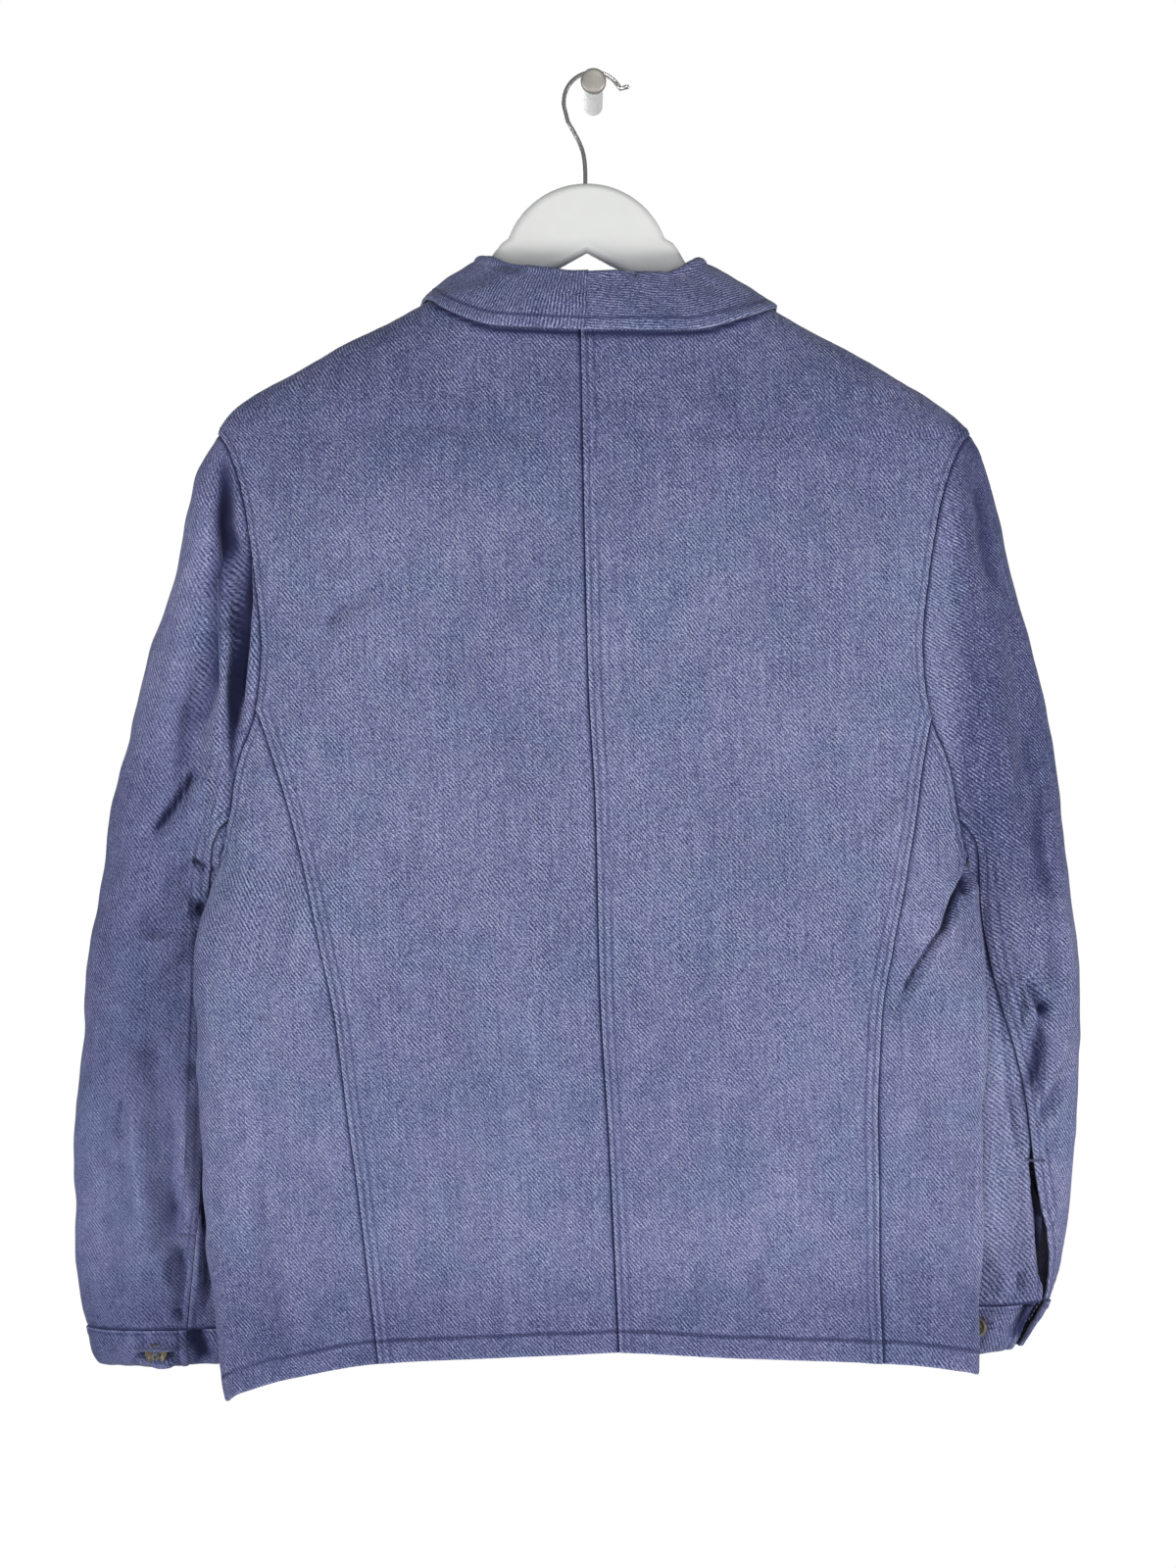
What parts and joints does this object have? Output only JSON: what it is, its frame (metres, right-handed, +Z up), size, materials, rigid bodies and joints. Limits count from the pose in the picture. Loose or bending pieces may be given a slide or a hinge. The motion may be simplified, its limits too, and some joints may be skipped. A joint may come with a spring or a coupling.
{
  "type": "denim jacket on a board hanger and a wall peg",
  "caption": "Denim work jacket with a turned-down collar, curved back seams and buttoned cuffs, hung on a board hanger from a round wall peg.",
  "frame": {"origin": "centre of the round foot of the wall peg, on the wall", "axes": "+Z up; +Y out of the jacket and into the wall, which is the plane Y = 0; the jacket's back faces -Y; +X to the right of someone who faces the wall"},
  "size_m": [0.6862, 0.1153, 0.8938],
  "materials": {
    "denim": "worn blue and white cotton twill, soft and matt",
    "buttons": "dark brown imitation horn, slightly polished",
    "hanger_board": "smooth white",
    "hanger_wire": "polished wire",
    "peg": "brushed"
  },
  "bodies": {
    "root": {"back_left": "denim", "back_right": "denim", "front_left": "denim", "front_right": "denim", "collar_left": "denim", "collar_right": "denim", "sleeve_upper_left": "denim", "sleeve_upper_right": "denim", "sleeve_under_left": "denim", "sleeve_under_right": "denim", "cuff_left": "denim", "cuff_right": "denim", "button_1": "buttons", "button_2": "buttons", "button_3": "buttons", "button_4": "buttons", "button_5": "buttons", "cuff_button_left": "buttons", "cuff_button_right": "buttons", "hanger_board": "hanger_board", "hanger_hook": "hanger_wire", "wall_peg": "peg"}
  },
  "joints": []
}
